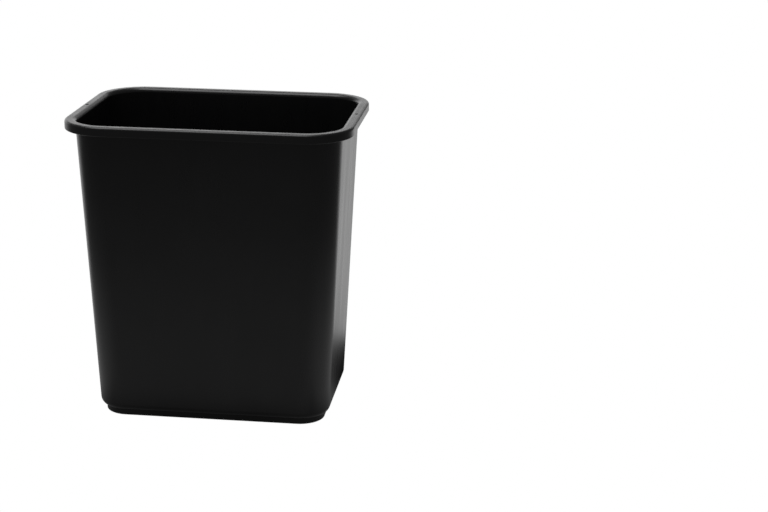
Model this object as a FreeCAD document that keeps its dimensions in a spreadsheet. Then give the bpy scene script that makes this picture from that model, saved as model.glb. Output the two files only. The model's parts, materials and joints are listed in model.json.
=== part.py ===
"""Deskside wastebasket: one injection-moulded plastic shell, open at the top.

The basket is a single moulding. Its regions are a floor on a low foot ring, four
drafted walls with rounded corners, and a flat rim whose outer edge turns down as
a short skirt. A round hole is pierced through the rim at the middle of each end.

Frame: millimetres, +Z up, origin on the ground under the centre of the basket,
X along the long side, -Y towards the front.
"""
import FreeCAD, Part
import math
import os
import Sketcher

PARTS_FOLDER = "parts"
NODE = "basket"
TOLERANCE = 1e-4

# Driving dimensions: sheet alias, value in millimetres, meaning.
SIZES = [
    ("rim_length", 366.0, "outside length of the rim"),
    ("rim_width", 264.0, "outside width of the rim"),
    ("height", 391.0, "ground to the top of the rim"),
    ("rim_corner", 60.0, "plan radius of the rim's outer corners"),
    ("rim_overhang", 13.0, "rim edge to the outer face of the wall"),
    ("rim_thickness", 2.4, "thickness of the flat rim"),
    ("rim_edge_radius", 3.5, "rounding of the rim's outer top edge"),
    ("rim_lip_radius", 5.5, "rounding of the rim's inner top edge"),
    ("skirt_height", 11.5, "depth of the turned-down edge, from the top"),
    ("skirt_thickness", 2.0, "thickness of the turned-down edge"),
    ("skirt_edge_radius", 0.8, "rounding of the skirt's lower edges"),
    ("skirt_corner_radius", 1.5, "rounding between the skirt and the rim's underside"),
    ("web_radius", 3.5, "rounding between the wall and the rim's underside"),
    ("base_length", 304.0, "outside length of the walls at the floor"),
    ("base_width", 206.0, "outside width of the walls at the floor"),
    ("base_corner", 39.0, "plan radius of the wall corners at the floor"),
    ("wall_thickness", 2.0, "thickness of the walls"),
    ("floor_thickness", 2.5, "thickness of the floor"),
    ("bottom_radius", 10.0, "outside rounding between walls and floor"),
    ("foot_height", 7.0, "ground to the underside of the floor"),
    ("foot_inset", 7.0, "outer face of the wall to the foot ring"),
    ("foot_thickness", 3.5, "thickness of the foot ring"),
    ("foot_edge_radius", 0.8, "rounding of the foot ring's lower edges"),
    ("hole_diameter", 4.6, "round hole in each end of the rim"),
    ("hole_inset", 6.5, "rim edge to the centre of the hole"),
    ("gate_diameter", 16.0, "round recess under the floor, where the mould is filled"),
    ("gate_depth", 0.8, "depth of that recess"),
]

# Outlines whose sizes are known: their length, width and corner radius.
RIM_OUTLINE = ("Sizes.rim_length", "Sizes.rim_width", "Sizes.rim_corner")
BASE_OUTLINE = ("Sizes.base_length", "Sizes.base_width", "Sizes.base_corner")

FLOOR_TOP = "Sizes.foot_height + Sizes.floor_thickness"
RIM_UNDERSIDE = "Sizes.height - Sizes.rim_thickness"
SKIRT_BOTTOM = "Sizes.height - Sizes.skirt_height"


def make_sizes_sheet(doc):
    """Put the driving dimensions in a spreadsheet, one aliased cell each."""
    sheet = doc.addObject("Spreadsheet::Sheet", "Sizes")
    for row, (alias, value, meaning) in enumerate(SIZES, start=1):
        sheet.set(f"A{row}", alias)
        sheet.set(f"B{row}", str(value))
        sheet.set(f"C{row}", meaning)
        sheet.setAlias(f"B{row}", alias)
    doc.recompute()


def inset_outline(outline, inset):
    """The size expressions of an outline that is moved inwards by an inset."""
    length, width, corner = outline
    return (f"{length} - 2 * ({inset})", f"{width} - 2 * ({inset})", f"{corner} - ({inset})")


def wall_outline(level, inset):
    """The walls' outline at a level, moved inwards: it grows evenly from floor to rim."""
    rise = f"(({level}) - Sizes.foot_height) / (Sizes.height - Sizes.foot_height)"
    top_outline = inset_outline(RIM_OUTLINE, "Sizes.rim_overhang")
    grown = [f"{low} + ({high} - {low}) * {rise}" for low, high in zip(BASE_OUTLINE, top_outline)]
    return inset_outline(grown, inset)


MOUTH_OUTLINE = wall_outline("Sizes.height", "Sizes.wall_thickness")


def origin_plane(body, role):
    """The body's own origin plane with the given role."""
    return next(item for item in body.Origin.OriginFeatures if item.Role == role)


def new_sketch(body, name, level):
    """A horizontal sketch on the body's XY plane, raised to a level."""
    sketch = body.newObject("Sketcher::SketchObject", name)
    sketch.AttachmentSupport = (origin_plane(body, "XY_Plane"), [""])
    sketch.MapMode = "FlatFace"
    sketch.setExpression("AttachmentOffset.Base.z", level)
    return sketch


def add_dimension(sketch, name, constraint, expression):
    """Add a named dimension that follows an expression."""
    index = sketch.addConstraint(constraint)
    sketch.renameConstraint(index, name)
    sketch.setExpression(f"Constraints.{name}", expression)


def draw_rounded_rectangle(sketch, name, outline):
    """Draw a rounded rectangle, centred on the origin, that follows an outline."""
    length, width, radius = [sketch.evalExpression(size) for size in outline]
    up = FreeCAD.Vector(0, 0, 1)
    arcs = []
    for quarter in range(4):
        side_x = 1 if quarter in (0, 3) else -1
        side_y = 1 if quarter in (0, 1) else -1
        centre = FreeCAD.Vector(side_x * (length / 2 - radius), side_y * (width / 2 - radius), 0)
        start = quarter * math.pi / 2
        arcs.append(Part.ArcOfCircle(Part.Circle(centre, up, radius), start, start + math.pi / 2))
    lines = [
        Part.LineSegment(arcs[quarter].EndPoint, arcs[(quarter + 1) % 4].StartPoint)
        for quarter in range(4)
    ]
    arc_ids = [sketch.addGeometry(arc) for arc in arcs]
    line_ids = [sketch.addGeometry(line) for line in lines]

    # In a constraint, point 1 is a start, 2 an end and 3 a centre.
    for quarter in range(4):
        line = line_ids[quarter]
        direction = "Horizontal" if quarter % 2 == 0 else "Vertical"
        sketch.addConstraint(Sketcher.Constraint("Tangent", arc_ids[quarter], 2, line, 1))
        sketch.addConstraint(Sketcher.Constraint("Tangent", line, 2, arc_ids[(quarter + 1) % 4], 1))
        sketch.addConstraint(Sketcher.Constraint(direction, line))
    for arc_id in arc_ids[1:]:
        sketch.addConstraint(Sketcher.Constraint("Equal", arc_ids[0], arc_id))
    sketch.addConstraint(Sketcher.Constraint("Symmetric", arc_ids[0], 3, arc_ids[2], 3, -1, 1))

    back, left, front, right = line_ids
    across = Sketcher.Constraint("DistanceX", left, 1, right, 1, length)
    deep = Sketcher.Constraint("DistanceY", front, 1, back, 1, width)
    bend = Sketcher.Constraint("Radius", arc_ids[0], radius)
    names = [f"{name}_length", f"{name}_width", f"{name}_corner"]
    for dimension, constraint, expression in zip(names, (across, deep, bend), outline):
        add_dimension(sketch, dimension, constraint, expression)


def draw_circle(sketch, diameter, away):
    """Draw a circle of a diameter on the X axis, at a distance from the origin."""
    size = sketch.evalExpression(diameter)
    distance = sketch.evalExpression(away)
    centre = FreeCAD.Vector(distance, 0, 0)
    circle = sketch.addGeometry(Part.Circle(centre, FreeCAD.Vector(0, 0, 1), size / 2))
    sketch.addConstraint(Sketcher.Constraint("PointOnObject", circle, 3, -1))
    add_dimension(sketch, "diameter", Sketcher.Constraint("Diameter", circle, size), diameter)
    place = Sketcher.Constraint("DistanceX", -1, 1, circle, 3, distance)
    add_dimension(sketch, "away", place, away)


def outline_sketch(body, name, level, *outlines):
    """A sketch at a level that holds one rounded rectangle for each outline."""
    sketch = new_sketch(body, name, level)
    for number, outline in enumerate(outlines, start=1):
        draw_rounded_rectangle(sketch, f"loop{number}", outline)
    return sketch


def add_loft(body, kind, name, upper, lower):
    """A straight-sided loft down from an upper sketch.

    Lofted downwards, its faces point outwards, which the fillets on it need.
    """
    loft = body.newObject(kind, name)
    loft.Profile = upper
    loft.Sections = [lower]
    loft.Ruled = True
    body.Document.recompute()


def add_pad(body, name, sketch, length):
    """A pad that rises from its sketch."""
    pad = body.newObject("PartDesign::Pad", name)
    pad.Profile = sketch
    pad.setExpression("Length", length)
    body.Document.recompute()


def add_pocket(body, name, sketch, depth, upwards):
    """A pocket cut upwards or downwards from its sketch; it has to remove material."""
    before = body.Tip.Shape.Volume
    pocket = body.newObject("PartDesign::Pocket", name)
    pocket.Profile = sketch
    pocket.Reversed = upwards
    pocket.setExpression("Length", depth)
    body.Document.recompute()
    if pocket.Shape.Volume >= before:
        raise RuntimeError(f"{name} cuts nothing")
    return pocket


def lies_on(edge, level, half_length, half_width):
    """Whether an edge is a stretch of the rounded rectangle with those half sizes."""
    box = edge.BoundBox
    flat = abs(box.ZMin - level) < TOLERANCE and abs(box.ZMax - level) < TOLERANCE
    return flat and all(
        abs(abs(vertex.X) - half_length) < TOLERANCE or abs(abs(vertex.Y) - half_width) < TOLERANCE
        for vertex in edge.Vertexes)


def add_fillet(body, name, radius, level, *outlines):
    """Round the edges that run along the given outlines at a level."""
    base = body.Tip
    height = body.evalExpression(level)
    halves = [[body.evalExpression(size) / 2 for size in outline[:2]] for outline in outlines]
    edges = [
        f"Edge{index}"
        for index, edge in enumerate(base.Shape.Edges, start=1)
        if any(lies_on(edge, height, *half) for half in halves)
    ]
    fillet = body.newObject("PartDesign::Fillet", name)
    fillet.Base = (base, edges)
    fillet.setExpression("Radius", radius)
    body.Document.recompute()


def build_shell(body):
    """Walls and floor: a drafted solid and a drafted cavity, rounded where they meet.

    The cavity is rounded first, because its sharp corner would break through the
    rounded outside.
    """
    outer_foot = wall_outline("Sizes.foot_height", "0")
    inner_floor = wall_outline(FLOOR_TOP, "Sizes.wall_thickness")
    wall_top = outline_sketch(body, "WallTop", "Sizes.height", wall_outline("Sizes.height", "0"))
    wall_foot = outline_sketch(body, "WallFoot", "Sizes.foot_height", outer_foot)
    add_loft(body, "PartDesign::AdditiveLoft", "Walls", wall_top, wall_foot)
    mouth = outline_sketch(body, "CavityMouth", "Sizes.height", MOUTH_OUTLINE)
    floor = outline_sketch(body, "CavityFloor", FLOOR_TOP, inner_floor)
    add_loft(body, "PartDesign::SubtractiveLoft", "Cavity", mouth, floor)
    inner_radius = "Sizes.bottom_radius - Sizes.wall_thickness"
    add_fillet(body, "FloorRounding", inner_radius, FLOOR_TOP, inner_floor)
    add_fillet(body, "BottomRounding", "Sizes.bottom_radius", "Sizes.foot_height", outer_foot)


def build_foot(body):
    """The foot ring; it reaches half-way into the floor, so that they are one piece."""
    outer = wall_outline("Sizes.foot_height", "Sizes.foot_inset")
    inner = inset_outline(outer, "Sizes.foot_thickness")
    ring = outline_sketch(body, "FootOutline", "0", outer, inner)
    add_pad(body, "Foot", ring, "Sizes.foot_height + Sizes.floor_thickness / 2")
    add_fillet(body, "FootEdge", "Sizes.foot_edge_radius", "0", outer, inner)


def build_rim(body):
    """The flat rim, which starts half-way into the wall, and its turned-down skirt."""
    inside_wall = wall_outline(RIM_UNDERSIDE, "Sizes.wall_thickness / 2")
    inside_skirt = inset_outline(RIM_OUTLINE, "Sizes.skirt_thickness")
    under_rim = wall_outline(RIM_UNDERSIDE, "0")
    plate = outline_sketch(body, "RimOutline", RIM_UNDERSIDE, RIM_OUTLINE, inside_wall)
    add_pad(body, "Rim", plate, "Sizes.rim_thickness")
    ring = outline_sketch(body, "SkirtOutline", SKIRT_BOTTOM, RIM_OUTLINE, inside_skirt)
    add_pad(body, "Skirt", ring, "Sizes.skirt_height - Sizes.rim_thickness")
    add_fillet(body, "SkirtCorner", "Sizes.skirt_corner_radius", RIM_UNDERSIDE, inside_skirt)
    add_fillet(body, "UnderRim", "Sizes.web_radius", RIM_UNDERSIDE, under_rim)
    add_fillet(body, "SkirtEdge", "Sizes.skirt_edge_radius", SKIRT_BOTTOM, RIM_OUTLINE, inside_skirt)
    add_fillet(body, "RimEdge", "Sizes.rim_edge_radius", "Sizes.height", RIM_OUTLINE)
    add_fillet(body, "RimLip", "Sizes.rim_lip_radius", "Sizes.height", MOUTH_OUTLINE)


def build_rim_holes(body):
    """A round hole through the rim at the middle of each short side."""
    sketch = new_sketch(body, "RimHoleCircle", "Sizes.height")
    draw_circle(sketch, "Sizes.hole_diameter", "Sizes.rim_length / 2 - Sizes.hole_inset")
    hole = add_pocket(body, "RimHole", sketch, "2 * Sizes.rim_thickness", upwards=False)
    mirrored = body.newObject("PartDesign::Mirrored", "RimHoles")
    mirrored.Originals = [hole]
    mirrored.MirrorPlane = (origin_plane(body, "YZ_Plane"), [""])
    body.Tip = mirrored
    body.Document.recompute()


def build_gate_recess(body):
    """The shallow round recess under the middle of the floor."""
    sketch = new_sketch(body, "GateCircle", "Sizes.foot_height")
    draw_circle(sketch, "Sizes.gate_diameter", "0")
    add_pocket(body, "GateRecess", sketch, "Sizes.gate_depth", upwards=True)


def build_basket(doc):
    """The whole moulding as one body."""
    body = doc.addObject("PartDesign::Body", "Basket")
    body.Label = NODE
    body.Placement = FreeCAD.Placement()
    build_shell(body)
    build_foot(body)
    build_rim(body)
    build_rim_holes(body)
    build_gate_recess(body)
    return body


def check(doc, body):
    """Stop if an object failed, or if the shape is not one sound solid of the right size."""
    failed = [item.Name for item in doc.Objects if {"Invalid", "Error"} & set(item.State)]
    if failed:
        raise RuntimeError(f"failed objects: {failed}")
    shape = body.Shape
    if shape.isNull() or not shape.isValid() or len(shape.Solids) != 1:
        raise RuntimeError(f"{body.Label} is not one valid solid")
    box = shape.optimalBoundingBox(False, False)
    driven = (doc.Sizes.rim_length, doc.Sizes.rim_width, doc.Sizes.height)
    for built, wanted in zip((box.XLength, box.YLength, box.ZLength), driven):
        if abs(built - wanted) > 0.1:
            raise RuntimeError(f"{body.Label} measures {built}, not {wanted}")


def main():
    doc = FreeCAD.newDocument("Wastebasket")
    make_sizes_sheet(doc)
    basket = build_basket(doc)
    doc.recompute()
    check(doc, basket)
    os.makedirs(PARTS_FOLDER, exist_ok=True)
    basket.Shape.exportStep(f"{PARTS_FOLDER}/{basket.Label}.step")
    print(basket.Label, "volume", round(basket.Shape.Volume), "faces", len(basket.Shape.Faces))


main()
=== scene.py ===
"""The looks of the deskside wastebasket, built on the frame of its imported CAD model.

Everything is in metres in the row frame: +Z up, X along the long side, -Y towards
the front. The basket is one moulding, so it is one clean mesh: rings of points that
follow one section from the inside floor, up the wall, over the rim and the skirt,
down the outside and under the foot.
"""
import json
import math

import bpy
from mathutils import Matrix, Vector


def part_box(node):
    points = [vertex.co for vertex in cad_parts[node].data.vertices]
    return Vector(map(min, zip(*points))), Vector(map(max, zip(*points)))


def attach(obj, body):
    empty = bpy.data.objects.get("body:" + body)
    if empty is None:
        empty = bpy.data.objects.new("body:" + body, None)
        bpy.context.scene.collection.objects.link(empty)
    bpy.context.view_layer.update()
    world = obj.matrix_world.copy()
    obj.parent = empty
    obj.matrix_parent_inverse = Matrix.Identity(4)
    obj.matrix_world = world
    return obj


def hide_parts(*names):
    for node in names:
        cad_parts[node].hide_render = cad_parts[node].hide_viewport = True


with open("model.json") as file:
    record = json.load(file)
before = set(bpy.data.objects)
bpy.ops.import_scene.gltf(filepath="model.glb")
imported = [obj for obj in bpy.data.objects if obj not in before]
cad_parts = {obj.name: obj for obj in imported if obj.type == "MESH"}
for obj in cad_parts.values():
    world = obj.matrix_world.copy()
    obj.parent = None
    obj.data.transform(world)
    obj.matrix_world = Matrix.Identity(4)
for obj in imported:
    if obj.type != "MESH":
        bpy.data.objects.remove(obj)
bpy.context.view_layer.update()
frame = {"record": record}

MM = 0.001

# The moulding's own sizes, beside those that the frame gives. The bows are how far
# the middles of the walls are drawn in.
RIM_CORNER = 60 * MM
RIM_OVERHANG = 13.0 * MM
RIM_EDGE_RADIUS = 3.5 * MM
RIM_LIP_RADIUS = 5.5 * MM
SKIRT_HEIGHT = 11.5 * MM
SKIRT_THICKNESS = 2.0 * MM
SKIRT_EDGE_RADIUS = 0.8 * MM
SKIRT_CORNER_RADIUS = 1.5 * MM
WEB_RADIUS = 3.5 * MM
BASE_LENGTH = 304 * MM
BASE_WIDTH = 206 * MM
BASE_CORNER = 39 * MM
WALL_THICKNESS = 2.0 * MM
FLOOR_THICKNESS = 2.5 * MM
BOTTOM_RADIUS = 10 * MM
FOOT_HEIGHT = 7 * MM
FOOT_INSET = 7 * MM
FOOT_THICKNESS = 3.5 * MM
FOOT_EDGE_RADIUS = 0.8 * MM
GATE_RADIUS = 8 * MM
GATE_DEPTH = 0.8 * MM
HOLE_CHAMFER = 0.2 * MM
WALL_BOW = 0.6 * MM
END_WALL_BOW = 0.35 * MM

# How finely the mesh is divided. A square patch of the rim makes room for each hole.
PATCH_STEPS = 8
END_STEPS = 6
SIDE_STEPS = 28
CORNER_STEPS = 20
WALL_STEPS = 28
UNDERSIDE_STEPS = 6
HOLE_STEPS = 4 * PATCH_STEPS

# How finely the section's bends and its short upright flats are divided.
FLOOR_BEND_STEPS = 8
BOTTOM_BEND_STEPS = 10
LIP_STEPS = 12
RIM_EDGE_STEPS = 10
FILLET_STEPS = 6
TURN_STEPS = 4
SKIRT_OUTSIDE_STEPS = 4
SKIRT_INSIDE_STEPS = 3
FOOT_STEPS = 3

# Edges that bend more than this stay crisp.
SHARP_ANGLE = math.radians(50)

# The camera: its distance and direction from the middle of the basket, the point
# on the basket's upright centre plane that it looks at, its roll and its lens.
CAMERA_DISTANCE = 2.251
CAMERA_AZIMUTH = math.radians(12.04)
CAMERA_ELEVATION = math.radians(16.87)
CAMERA_AIM = Vector((0.2137, 0.0, 0.2032))
CAMERA_ROLL = math.radians(0.695)
CAMERA_LENS = 79.48


# ---------------------------------------------------------------- the frame

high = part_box("basket")[1]
HEIGHT = high.z
RIM_HALF = (high.x, high.y, RIM_CORNER)
BASE_HALF = (BASE_LENGTH / 2, BASE_WIDTH / 2, BASE_CORNER)

hole_mount = next(m for m in frame["record"]["mounts"] if m["kind"] == "bore")
HOLE_AWAY = abs(hole_mount["pos_m"][0])
HOLE_RADIUS = hole_mount["dims"]["r_mm"] * MM
RIM_THICKNESS = hole_mount["dims"]["length_mm"] * MM
HOLE_INSET = RIM_HALF[0] - HOLE_AWAY
RIM_UNDERSIDE = HEIGHT - RIM_THICKNESS

# Each hole is in the middle of the rim's flat, so the patch around it spans the flat:
# on top from the rounded edge to the lip, below between the two rounded corners.
PATCH_HALF = HOLE_INSET - RIM_EDGE_RADIUS


# ---------------------------------------------------------------- the section

def inset(outline, distance):
    """An outline (half length, half width, corner radius) moved inwards."""
    return tuple(size - distance for size in outline)


def rim_outline(distance, level):
    """The rim's outline, moved inwards; it is the same at every level."""
    return inset(RIM_HALF, distance)


def wall_outline(distance, level):
    """The walls' outline at a level, moved inwards; it grows evenly up to the rim."""
    top = inset(RIM_HALF, RIM_OVERHANG)
    grown = tuple(b + (t - b) * rise_at(level) for b, t in zip(BASE_HALF, top))
    return inset(grown, distance)


def foot_outline(distance, level):
    """The outline of the walls' foot, moved inwards; it is the same at every level."""
    return inset(BASE_HALF, distance)


def rise_at(level):
    """The share of the way from the walls' foot to the rim."""
    return (level - FOOT_HEIGHT) / (HEIGHT - FOOT_HEIGHT)


def arc(centre, radius, start, end, steps):
    """Points (inset, level) of an arc; 0 degrees points inwards and 90 degrees up."""
    turns = [math.radians(start + (end - start) * i / steps) for i in range(steps + 1)]
    return [(centre[0] + radius * math.cos(t), centre[1] + radius * math.sin(t)) for t in turns]


def between(start, end, steps):
    """The points (inset, level) that divide a straight stretch, without its ends."""
    shares = [i / steps for i in range(1, steps)]
    return [tuple(a + (b - a) * share for a, b in zip(start, end)) for share in shares]


def inside_rows():
    """The inside, from the floor's edge up to the lip.

    The lip's last point is left out, because the patch rows start there.
    """
    floor_top = FOOT_HEIGHT + FLOOR_THICKNESS
    radius = BOTTOM_RADIUS - WALL_THICKNESS
    low_centre = (BOTTOM_RADIUS, floor_top + radius)
    lip_centre = (WALL_THICKNESS - RIM_LIP_RADIUS, HEIGHT - RIM_LIP_RADIUS)
    points = arc(low_centre, radius, 270, 180, FLOOR_BEND_STEPS)
    points += between((WALL_THICKNESS, low_centre[1]), (WALL_THICKNESS, lip_centre[1]), WALL_STEPS)
    points += arc(lip_centre, RIM_LIP_RADIUS, 0, 90, LIP_STEPS)[:-1]
    return [(wall_outline, point) for point in points]


def patch_rows(level):
    """The rim's rows at a level that make room for the holes, from the outer one inwards."""
    first = HOLE_INSET - PATCH_HALF
    step = 2 * PATCH_HALF / PATCH_STEPS
    return [(rim_outline, (first + step * i, level)) for i in range(PATCH_STEPS + 1)]


def skirt_rows():
    """The rim's rounded outer edge, the skirt and the corner under the rim."""
    edge_centre = (RIM_EDGE_RADIUS, HEIGHT - RIM_EDGE_RADIUS)
    turn_level = HEIGHT - SKIRT_HEIGHT + SKIRT_EDGE_RADIUS
    outer_turn = (SKIRT_EDGE_RADIUS, turn_level)
    inner_turn = (SKIRT_THICKNESS - SKIRT_EDGE_RADIUS, turn_level)
    corner_centre = (SKIRT_THICKNESS + SKIRT_CORNER_RADIUS, RIM_UNDERSIDE - SKIRT_CORNER_RADIUS)
    points = arc(edge_centre, RIM_EDGE_RADIUS, 90, 180, RIM_EDGE_STEPS)[1:]
    points += between((0, edge_centre[1]), (0, turn_level), SKIRT_OUTSIDE_STEPS)
    points += arc(outer_turn, SKIRT_EDGE_RADIUS, 180, 270, TURN_STEPS)
    points += arc(inner_turn, SKIRT_EDGE_RADIUS, 270, 360, TURN_STEPS)
    points += between(
        (SKIRT_THICKNESS, turn_level), (SKIRT_THICKNESS, corner_centre[1]), SKIRT_INSIDE_STEPS)
    points += arc(corner_centre, SKIRT_CORNER_RADIUS, 180, 90, FILLET_STEPS)[:-1]
    return [(rim_outline, point) for point in points]


def outside_rows():
    """The outside wall, from the rim down to the notch above the foot ring."""
    web_centre = (-WEB_RADIUS, RIM_UNDERSIDE - WEB_RADIUS)
    bottom_centre = (BOTTOM_RADIUS, FOOT_HEIGHT + BOTTOM_RADIUS)
    notch = 180 + math.degrees(math.acos((BOTTOM_RADIUS - FOOT_INSET) / BOTTOM_RADIUS))
    points = arc(web_centre, WEB_RADIUS, 90, 0, FILLET_STEPS)
    points += between((0, web_centre[1]), (0, bottom_centre[1]), WALL_STEPS)
    points += arc(bottom_centre, BOTTOM_RADIUS, 180, notch, BOTTOM_BEND_STEPS)
    return [(wall_outline, point) for point in points]


def foot_rows():
    """The foot ring, from the notch to the corner between the ring and the underside."""
    inside = FOOT_INSET + FOOT_THICKNESS
    outer_turn = (FOOT_INSET + FOOT_EDGE_RADIUS, FOOT_EDGE_RADIUS)
    inner_turn = (inside - FOOT_EDGE_RADIUS, FOOT_EDGE_RADIUS)
    points = between((FOOT_INSET, FOOT_HEIGHT), (FOOT_INSET, FOOT_EDGE_RADIUS), FOOT_STEPS)
    points += arc(outer_turn, FOOT_EDGE_RADIUS, 180, 270, TURN_STEPS)
    points += arc(inner_turn, FOOT_EDGE_RADIUS, 270, 360, TURN_STEPS)
    points += [(inside, FOOT_HEIGHT)]
    return [(foot_outline, point) for point in points]


# ---------------------------------------------------------------- the mesh

def ring_of(outline):
    """The points of a rounded rectangle, anticlockwise from the middle of the +X end."""
    half_x, half_y, radius = outline
    flat_x = half_x - radius
    flat_y = half_y - radius
    half_patch = PATCH_STEPS // 2
    half_side = SIDE_STEPS // 2
    quarter = [(half_x, PATCH_HALF * i / half_patch) for i in range(half_patch)]
    for i in range(END_STEPS):
        quarter.append((half_x, PATCH_HALF + (flat_y - PATCH_HALF) * i / END_STEPS))
    for i in range(CORNER_STEPS):
        turn = math.pi / 2 * i / CORNER_STEPS
        quarter.append((flat_x + radius * math.cos(turn), flat_y + radius * math.sin(turn)))
    for i in range(half_side):
        quarter.append((flat_x * (1 - i / half_side), half_y))
    mirrored = [(0.0, half_y)] + [(-x, y) for x, y in reversed(quarter[1:])]
    half_ring = quarter + mirrored
    return half_ring + [(-x, -y) for x, y in half_ring]


def bowed(ring, outline, level):
    """A wall's ring with its flat stretches drawn in a little, as they sink while cooling."""
    half_x, half_y, radius = outline
    share = math.sin(math.pi * min(max(rise_at(level), 0), 1)) ** 2
    drawn = []
    for x, y in ring:
        along_x = min(abs(x) / (half_x - radius), 1)
        along_y = min(abs(y) / (half_y - radius), 1)
        sink_x = END_WALL_BOW * share * (1 - along_y ** 2) ** 2
        sink_y = WALL_BOW * share * (1 - along_x ** 2) ** 2
        drawn.append((x - math.copysign(sink_x, x), y - math.copysign(sink_y, y)))
    return drawn


class Shell:
    """The vertices and faces of the moulding while it is being built."""

    def __init__(self):
        self.vertices = []
        self.faces = []

    def add_points(self, points):
        """Add points and return their numbers."""
        first = len(self.vertices)
        self.vertices.extend(points)
        return list(range(first, first + len(points)))

    def add_ring(self, outline_at, distance, level):
        """A ring of the section; the walls' rings are drawn in."""
        outline = outline_at(distance, level)
        ring = ring_of(outline)
        if outline_at is wall_outline:
            ring = bowed(ring, outline, level)
        return self.add_points([(x, y, level) for x, y in ring])

    def add_circle(self, centre_x, radius, level, steps, start=0.0):
        """A circle of points, anticlockwise from a start angle."""
        turns = [start + 2 * math.pi * i / steps for i in range(steps)]
        points = [(centre_x + radius * math.cos(t), radius * math.sin(t), level) for t in turns]
        return self.add_points(points)

    def bridge(self, loop, following, skipped=()):
        """Join two loops with quads, except at the skipped columns."""
        count = len(loop)
        for i in range(count):
            after = (i + 1) % count
            if i not in skipped:
                self.faces.append((loop[i], following[i], following[after], loop[after]))

    def fill(self, ring, upwards):
        """Fill a ring with a grid of quads whose corners lie in the middles of the bends."""
        count = len(ring)
        bend = PATCH_STEPS // 2 + END_STEPS + CORNER_STEPS // 2
        wide = count // 2 - 2 * bend
        deep = 2 * bend
        front = [ring[count // 2 + bend + i] for i in range(wide + 1)]
        back = [ring[count // 2 - bend - i] for i in range(wide + 1)]
        left = [ring[count // 2 + bend - j] for j in range(deep + 1)]
        right = [ring[(j - bend) % count] for j in range(deep + 1)]
        grid = [front]
        for j in range(1, deep):
            inner = [self.coons(front, back, left, right, i, j) for i in range(1, wide)]
            grid.append([left[j]] + self.add_points(inner) + [right[j]])
        grid.append(back)
        for lower, upper in zip(grid, grid[1:]):
            for i in range(wide):
                face = (lower[i], lower[i + 1], upper[i + 1], upper[i])
                self.faces.append(face if upwards else face[::-1])

    def coons(self, front, back, left, right, i, j):
        """The point of a grid that blends its four edges."""
        u = i / (len(front) - 1)
        v = j / (len(left) - 1)
        point = []
        for axis in range(3):
            at = [self.vertices[index][axis] for index in (front[i], back[i], left[j], right[j])]
            ends = [self.vertices[index][axis] for index in (front[0], front[-1], back[0], back[-1])]
            edges = (1 - v) * at[0] + v * at[1] + (1 - u) * at[2] + u * at[3]
            corners = (1 - v) * ((1 - u) * ends[0] + u * ends[1])
            corners += v * ((1 - u) * ends[2] + u * ends[3])
            point.append(edges - corners)
        return tuple(point)


def patch_loop(rows, middle):
    """The border of the patch around a column, anticlockwise from its outermost middle.

    rows run from the inner one outwards.
    """
    half = PATCH_STEPS // 2
    last = PATCH_STEPS
    places = [(last, j) for j in range(half)]
    places += [(last - i, half) for i in range(last)]
    places += [(0, half - j) for j in range(last)]
    places += [(i, -half) for i in range(last)]
    places += [(last, j - half) for j in range(half)]
    return [rows[i][middle + j] for i, j in places]


def drill(shell, top_rows, under_rows, middle, side):
    """Line a rim hole: from the patch on top, through the rim, to the patch below."""
    start = 0.0 if side > 0 else math.pi
    wide = HOLE_RADIUS + HOLE_CHAMFER
    stages = [
        (wide, HEIGHT),
        (HOLE_RADIUS, HEIGHT - HOLE_CHAMFER),
        (HOLE_RADIUS, RIM_UNDERSIDE + HOLE_CHAMFER),
        (wide, RIM_UNDERSIDE),
    ]
    loops = [patch_loop(top_rows, middle)]
    for radius, level in stages:
        loops.append(shell.add_circle(side * HOLE_AWAY, radius, level, HOLE_STEPS, start))
    loops.append(patch_loop(under_rows, middle))
    for loop, following in zip(loops, loops[1:]):
        shell.bridge(following, loop)


def morph(shell, ring, radius, steps):
    """Rings that turn a flat ring into a circle around the origin; returns the circle."""
    level = shell.vertices[ring[0]][2]
    count = len(ring)
    outer = [shell.vertices[index] for index in ring]
    for step in range(1, steps + 1):
        share = step / steps
        points = []
        for i, (x, y, _) in enumerate(outer):
            turn = 2 * math.pi * i / count
            points.append((
                x + (radius * math.cos(turn) - x) * share,
                y + (radius * math.sin(turn) - y) * share,
                level))
        following = shell.add_points(points)
        shell.bridge(ring, following)
        ring = following
    return ring


def columns_at_holes(count):
    """The columns of a ring that the patches of both holes take up."""
    half = PATCH_STEPS // 2
    return {(middle + offset) % count for middle in (0, count // 2) for offset in range(-half, half)}


def build_shell():
    """The whole moulding as one closed shell of quads."""
    shell = Shell()
    top_patch = patch_rows(HEIGHT)[::-1]
    under_patch = patch_rows(RIM_UNDERSIDE)
    rows = inside_rows()
    top_first = len(rows)
    rows += top_patch + skirt_rows()
    under_first = len(rows)
    rows += under_patch + outside_rows() + foot_rows()

    rings = [shell.add_ring(outline, distance, level) for outline, (distance, level) in rows]
    count = len(rings[0])
    at_holes = columns_at_holes(count)
    holed = set(range(top_first, top_first + PATCH_STEPS))
    holed |= set(range(under_first, under_first + PATCH_STEPS))
    for number, (ring, following) in enumerate(zip(rings, rings[1:])):
        shell.bridge(ring, following, at_holes if number in holed else ())

    top_rows = rings[top_first:top_first + PATCH_STEPS + 1]
    under_rows = rings[under_first:under_first + PATCH_STEPS + 1][::-1]
    drill(shell, top_rows, under_rows, 0, 1)
    drill(shell, top_rows, under_rows, count // 2, -1)

    gate = morph(shell, rings[-1], GATE_RADIUS, UNDERSIDE_STEPS)
    recess = shell.add_circle(0.0, GATE_RADIUS, FOOT_HEIGHT + GATE_DEPTH, count)
    shell.bridge(gate, recess)
    shell.fill(rings[0], upwards=True)
    shell.fill(recess, upwards=False)
    return shell


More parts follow.
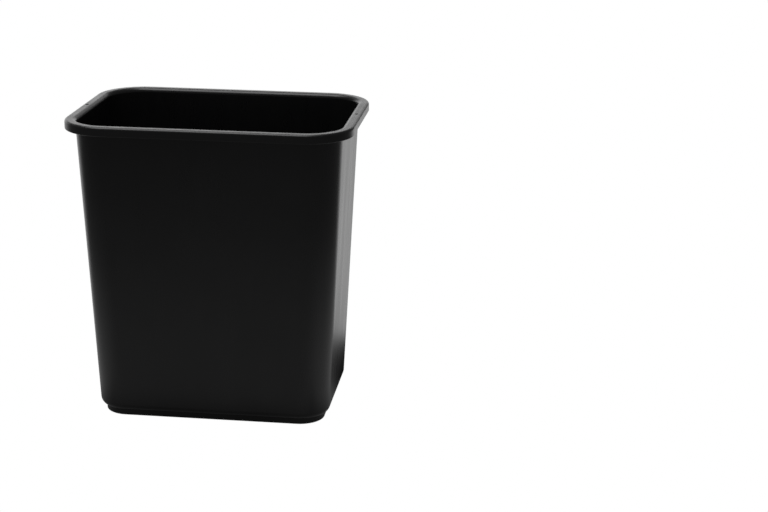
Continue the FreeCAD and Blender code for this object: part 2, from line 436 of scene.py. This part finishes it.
def build_basket():
    """The basket's mesh object, smooth, with its loose points removed."""
    shell = build_shell()
    used = sorted({index for face in shell.faces for index in face})
    place = {index: number for number, index in enumerate(used)}
    mesh = bpy.data.meshes.new("basket_shell")
    mesh.from_pydata(
        [shell.vertices[index] for index in used],
        [],
        [[place[index] for index in face] for face in shell.faces])
    mesh.shade_smooth()
    mesh.set_sharp_from_angle(angle=SHARP_ANGLE)
    basket = bpy.data.objects.new("basket_shell", mesh)
    bpy.context.scene.collection.objects.link(basket)
    weighted = basket.modifiers.new("weighted_normals", "WEIGHTED_NORMAL")
    weighted.keep_sharp = True
    return basket


# ---------------------------------------------------------------- the node trees

class Nodes:
    """A short way to write a node tree."""

    def __init__(self, tree):
        self.tree = tree
        tree.nodes.clear()

    def add(self, kind, inputs=None, **settings):
        """A node with its settings, and with each input set to a value or linked."""
        node = self.tree.nodes.new(kind)
        for name, value in settings.items():
            setattr(node, name, value)
        for name, value in (inputs or {}).items():
            if isinstance(value, bpy.types.NodeSocket):
                self.tree.links.new(value, node.inputs[name])
            else:
                node.inputs[name].default_value = value
        return node

    def math(self, operation, first, second=0.0):
        """A number made from one or two numbers."""
        return self.add("ShaderNodeMath", {0: first, 1: second}, operation=operation).outputs[0]

    def product(self, first, second):
        """Two numbers multiplied."""
        return self.math("MULTIPLY", first, second)

    def total(self, first, second):
        """Two numbers added."""
        return self.math("ADD", first, second)

    def vector(self, operation, first, second=(0.0, 0.0, 0.0)):
        """A vector made from one or two vectors."""
        inputs = {0: first, 1: second}
        return self.add("ShaderNodeVectorMath", inputs, operation=operation).outputs["Vector"]

    def measure(self, operation, first, second=(0.0, 0.0, 0.0)):
        """A number made from one or two vectors."""
        inputs = {0: first, 1: second}
        return self.add("ShaderNodeVectorMath", inputs, operation=operation).outputs["Value"]

    def parts(self, vector):
        """The X, Y and Z of a vector."""
        return self.add("ShaderNodeSeparateXYZ", {"Vector": vector}).outputs

    def ramp(self, value, span, low=0.0, high=1.0):
        """A smooth change from low to high while the value crosses the span."""
        inputs = {"Value": value, 1: span[0], 2: span[1], 3: low, 4: high}
        node = self.add("ShaderNodeMapRange", inputs, interpolation_type="SMOOTHSTEP")
        return node.outputs["Result"]

    def fall(self, value, span):
        """A smooth change from 1 to 0 while the value crosses the span."""
        return self.ramp(value, span, 1.0, 0.0)

    def mix(self, share, first, second):
        """A mix of two numbers."""
        node = self.add("ShaderNodeMix", {0: share, 2: first, 3: second}, data_type="FLOAT")
        return node.outputs[0]

    def stretch(self, vector, scale, turn=(0.0, 0.0, 0.0)):
        """A vector scaled along each axis and then turned."""
        inputs = {"Vector": vector, "Rotation": turn, "Scale": scale}
        return self.add("ShaderNodeMapping", inputs).outputs[0]

    def noise(self, vector, scale=1.0, detail=2.0, roughness=0.5):
        """Smooth noise; a larger scale gives a finer pattern."""
        inputs = {"Vector": vector, "Scale": scale, "Detail": detail, "Roughness": roughness}
        return self.add("ShaderNodeTexNoise", inputs).outputs["Fac"]

    def bump(self, height, strength, distance, normal=None):
        """A surface normal bent by a height, on top of another bump if there is one."""
        inputs = {"Height": height, "Strength": strength, "Distance": distance}
        if normal is not None:
            inputs["Normal"] = normal
        return self.add("ShaderNodeBump", inputs).outputs[0]


# ---------------------------------------------------------------- the material

# How dark and how rough the plastic is; both wander between two values.
SHADES = (0.0085, 0.0110)
ROUGHNESSES = (0.27, 0.31)
BLUENESS = 1.05
REFRACTION = 1.5

# Worn edges are lighter and smoother; scuffs are lighter and rougher.
WORN_SHADE = 0.006
WORN_SMOOTHNESS = 0.06
SCUFF_SHADE = 0.004
SCUFF_ROUGHNESS = 0.08

# How fine each pattern of noise is: about how many of its spots fit into a metre.
CLOUD_SCALE = 14
FLOW_SCALE = (60, 60, 5)
SCRATCH_SCALE = (900, 60, 40)
SCUFFED_SCALE = 25
WORN_SCALE = 120
GRAIN_SCALE = 2200
WAVE_SCALE = 9

# The turn of the scratches' noise, in radians.
SCRATCH_TURN = (0.5, 0.3, 0.2)

# The spans of noise, and of how convex the surface is, across which each change happens.
WANDER_SPAN = (0.3, 0.7)
SCRATCH_SPAN = (0.70, 0.78)
SCUFFED_SPAN = (0.50, 0.68)
CONVEX_SPAN = (0.51, 0.60)
WORN_SPAN = (0.42, 0.70)

# The mould's grain and the walls' soft waves: their heights and how much these count.
GRAIN_HEIGHT = 0.03 * MM
GRAIN_STRENGTH = 0.25
GRAIN_HARSHNESS = 0.6
WAVE_HEIGHT = 0.8 * MM
WAVE_STRENGTH = 0.3


def scuffs_of(nodes, where):
    """Fine scratches that show in some patches only."""
    turned = nodes.stretch(where, SCRATCH_SCALE, SCRATCH_TURN)
    scratches = nodes.ramp(nodes.noise(turned), SCRATCH_SPAN)
    scuffed = nodes.ramp(nodes.noise(where, SCUFFED_SCALE), SCUFFED_SPAN)
    return nodes.product(scratches, scuffed)


def wear_of(nodes, where):
    """Uneven wear along the convex edges."""
    pointiness = nodes.add("ShaderNodeNewGeometry").outputs["Pointiness"]
    edges = nodes.ramp(pointiness, CONVEX_SPAN)
    uneven = nodes.ramp(nodes.noise(where, WORN_SCALE, detail=4.0), WORN_SPAN)
    return nodes.product(edges, uneven)


def colour_of(nodes, where, worn, scuffs):
    """Near-black in soft clouds, lighter where it is worn or scuffed."""
    shade = nodes.ramp(nodes.noise(where, CLOUD_SCALE, detail=3.0), WANDER_SPAN, *SHADES)
    shade = nodes.total(shade, nodes.product(worn, WORN_SHADE))
    shade = nodes.total(shade, nodes.product(scuffs, SCUFF_SHADE))
    blue = nodes.product(shade, BLUENESS)
    colour = nodes.add("ShaderNodeCombineColor", {"Red": shade, "Green": shade, "Blue": blue})
    return colour.outputs[0]


def roughness_of(nodes, where, worn, scuffs):
    """Roughness in upright streaks, smoother where it is worn and rougher in scuffs."""
    flow = nodes.noise(nodes.stretch(where, FLOW_SCALE), detail=3.0)
    rough = nodes.ramp(flow, WANDER_SPAN, *ROUGHNESSES)
    rough = nodes.total(rough, nodes.product(scuffs, SCUFF_ROUGHNESS))
    return nodes.math("SUBTRACT", rough, nodes.product(worn, WORN_SMOOTHNESS))


def black_plastic():
    """Satin near-black polyethylene: fine mould grain, soft waves, faint scuffs and worn edges."""
    material = bpy.data.materials.new("black_plastic")
    material.use_nodes = True
    nodes = Nodes(material.node_tree)
    where = nodes.add("ShaderNodeTexCoord").outputs["Object"]
    scuffs = scuffs_of(nodes, where)
    worn = wear_of(nodes, where)

    grain = nodes.noise(where, GRAIN_SCALE, roughness=GRAIN_HARSHNESS)
    fine = nodes.bump(grain, GRAIN_STRENGTH, GRAIN_HEIGHT)
    waves = nodes.noise(where, WAVE_SCALE, detail=1.0)
    surface = nodes.add("ShaderNodeBsdfPrincipled", {
        "Base Color": colour_of(nodes, where, worn, scuffs),
        "Roughness": roughness_of(nodes, where, worn, scuffs),
        "IOR": REFRACTION,
        "Normal": nodes.bump(waves, WAVE_STRENGTH, WAVE_HEIGHT, fine)})
    nodes.add("ShaderNodeOutputMaterial", {"Surface": surface.outputs[0]})
    return material


# ---------------------------------------------------------------- the studio

# The level direction that the camera looks in; the bright back stands across it.
AHEAD = (-math.sin(CAMERA_AZIMUTH), math.cos(CAMERA_AZIMUTH), 0.0)

# How bright each part of the surroundings looks in the plastic: the floor behind the
# basket and near it, everything far away, the back's two ends and the overhead light.
FLOOR_BACK = 0.86
SIDE_NEAR = 0.40
FRONT_NEAR = 0.22
FAR = 0.10
BACK_LEFT = 1.3
BACK_RIGHT = 0.98
TOP = 3.4

# The floor: half its size, the distances from the middle across which it dims, and how
# closely a direction follows Y, or AHEAD, where its parts meet.
FLOOR_HALF = 8.0
FRONT_REACH = (0.4, 1.0)
SIDE_REACH = (0.3, 0.9)
FRONT_TO_SIDE = (-0.9, -0.4)
SIDE_TO_BACK = (0.42, 0.84)

# The soft shadow behind and beside the basket's foot, an ellipse: its light, middle and
# half sizes, and the share of the half sizes across which it ends.
SHADOW = 0.03
SHADOW_CENTRE = (0.03, 0.14, 0.0)
SHADOW_HALF = (0.185, 0.145, 1.0)
SHADOW_EDGE = (0.8, 1.3)

# How much light is left on the floor at the walls' foot, and how far out it grows back.
CONTACT = 0.35
CONTACT_REACH = (0.0, 0.09)

# The bright back, by the parts of a direction: the X across which it changes from left
# to right, the X across which it ends on the right, how closely a direction follows
# AHEAD where it begins, the Z across which it dims, and how much is left above that.
BACK_CHANGE = (-0.35, 0.05)
BACK_END = (0.12, 0.26)
BACK_AHEAD = (0.5, 0.86)
BACK_TOP = (0.27, 0.35)
BACK_ABOVE = 0.2

# The overhead light, by the parts of a direction: the Z across which it begins, its
# shift to the left, how far from that its sides end, and the Y across which it begins
# and ends.
TOP_HEIGHT = (0.60, 0.80)
TOP_SHIFT = 0.2
TOP_HALF = (0.2, 0.4)
TOP_START = (-0.6, -0.2)
TOP_END = (0.2, 0.6)


def floor_around(nodes, where):
    """How bright the open floor looks: bright behind the basket, dim beside and before it."""
    way = nodes.vector("NORMALIZE", where)
    reach = nodes.measure("LENGTH", where)
    front = nodes.ramp(reach, FRONT_REACH, FRONT_NEAR, FAR)
    side = nodes.ramp(reach, SIDE_REACH, SIDE_NEAR, FAR)
    around = nodes.mix(nodes.ramp(nodes.parts(way)["Y"], FRONT_TO_SIDE), front, side)
    ahead = nodes.measure("DOT_PRODUCT", way, AHEAD)
    return nodes.mix(nodes.ramp(ahead, SIDE_TO_BACK), around, FLOOR_BACK)


def outside_shadow(nodes, where):
    """0 inside the soft shadow and 1 outside it."""
    offset = nodes.vector("SUBTRACT", where, SHADOW_CENTRE)
    share = nodes.measure("LENGTH", nodes.vector("DIVIDE", offset, SHADOW_HALF))
    return nodes.ramp(share, SHADOW_EDGE)


def beside_foot(nodes, where):
    """How much light is left on the floor by the distance from the walls' foot."""
    beyond = nodes.vector("SUBTRACT", nodes.vector("ABSOLUTE", where), BASE_HALF)
    gaps = nodes.parts(beyond)
    gap = nodes.math("MAXIMUM", gaps["X"], gaps["Y"])
    return nodes.ramp(gap, CONTACT_REACH, CONTACT, 1.0)


def white_to_camera(nodes, brightness):
    """White where the camera sees it; in the plastic it has the given brightness."""
    camera = nodes.add("ShaderNodeLightPath").outputs["Is Camera Ray"]
    return nodes.mix(camera, brightness, 1.0)


def floor_material():
    """A floor that the camera sees as white; the basket mirrors its shaded parts."""
    material = bpy.data.materials.new("studio_floor")
    material.use_nodes = True
    nodes = Nodes(material.node_tree)
    where = nodes.add("ShaderNodeTexCoord").outputs["Object"]
    seen = nodes.mix(outside_shadow(nodes, where), SHADOW, floor_around(nodes, where))
    seen = nodes.product(seen, beside_foot(nodes, where))
    strength = white_to_camera(nodes, seen)
    glow = nodes.add("ShaderNodeEmission", {"Color": (1, 1, 1, 1), "Strength": strength})
    nodes.add("ShaderNodeOutputMaterial", {"Surface": glow.outputs[0]})
    return material


def build_floor():
    """The floor, a flat sheet under the basket."""
    corners = [(-1, -1), (1, -1), (1, 1), (-1, 1)]
    mesh = bpy.data.meshes.new("studio_floor")
    mesh.from_pydata([(x * FLOOR_HALF, y * FLOOR_HALF, 0) for x, y in corners], [], [(0, 1, 2, 3)])
    floor = bpy.data.objects.new("studio_floor", mesh)
    floor.data.materials.append(floor_material())
    bpy.context.scene.collection.objects.link(floor)


def bright_back(nodes, way):
    """How much of the bright back a direction sees."""
    along = nodes.parts(way)
    ahead = nodes.measure("DOT_PRODUCT", way, AHEAD)
    share = nodes.product(
        nodes.ramp(along["Z"], BACK_TOP, 1.0, BACK_ABOVE), nodes.fall(along["X"], BACK_END))
    return nodes.product(share, nodes.ramp(ahead, BACK_AHEAD))


def overhead_light(nodes, way):
    """How much of the overhead light a direction sees; it stands left of the middle."""
    along = nodes.parts(way)
    aside = nodes.math("ABSOLUTE", nodes.total(along["X"], TOP_SHIFT))
    across = nodes.product(nodes.ramp(along["Z"], TOP_HEIGHT), nodes.fall(aside, TOP_HALF))
    deep = nodes.product(nodes.ramp(along["Y"], TOP_START), nodes.fall(along["Y"], TOP_END))
    return nodes.product(across, deep)


def build_world():
    """Soft light: a bright back and an overhead light, dim at the sides and in front."""
    world = bpy.data.worlds.new("studio")
    world.use_nodes = True
    bpy.context.scene.world = world
    nodes = Nodes(world.node_tree)
    way = nodes.add("ShaderNodeTexCoord").outputs["Generated"]
    back = nodes.ramp(nodes.parts(way)["X"], BACK_CHANGE, BACK_LEFT, BACK_RIGHT)
    around = nodes.mix(bright_back(nodes, way), FAR, back)
    around = nodes.mix(overhead_light(nodes, way), around, TOP)
    strength = white_to_camera(nodes, around)
    sky = nodes.add("ShaderNodeBackground", {"Color": (1, 1, 1, 1), "Strength": strength})
    nodes.add("ShaderNodeOutputWorld", {"Surface": sky.outputs[0]})


# ---------------------------------------------------------------- the picture

def build_camera():
    """The camera, aimed beside the basket, which stands left of the picture's middle."""
    middle = Vector((0, 0, HEIGHT / 2))
    away = Vector((
        math.sin(CAMERA_AZIMUTH) * math.cos(CAMERA_ELEVATION),
        -math.cos(CAMERA_AZIMUTH) * math.cos(CAMERA_ELEVATION),
        math.sin(CAMERA_ELEVATION)))
    camera = bpy.data.objects.new("camera", bpy.data.cameras.new("camera"))
    camera.data.lens = CAMERA_LENS
    camera.location = middle + away * CAMERA_DISTANCE
    camera.rotation_euler = (CAMERA_AIM - camera.location).to_track_quat("-Z", "Y").to_euler()
    camera.rotation_euler.rotate_axis("Z", CAMERA_ROLL)
    bpy.context.scene.collection.objects.link(camera)
    bpy.context.scene.camera = camera


basket = build_basket()
basket.data.materials.append(black_plastic())
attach(basket, "root")
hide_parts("basket")
build_floor()
build_world()
build_camera()
bpy.context.scene.view_settings.view_transform = "Standard"
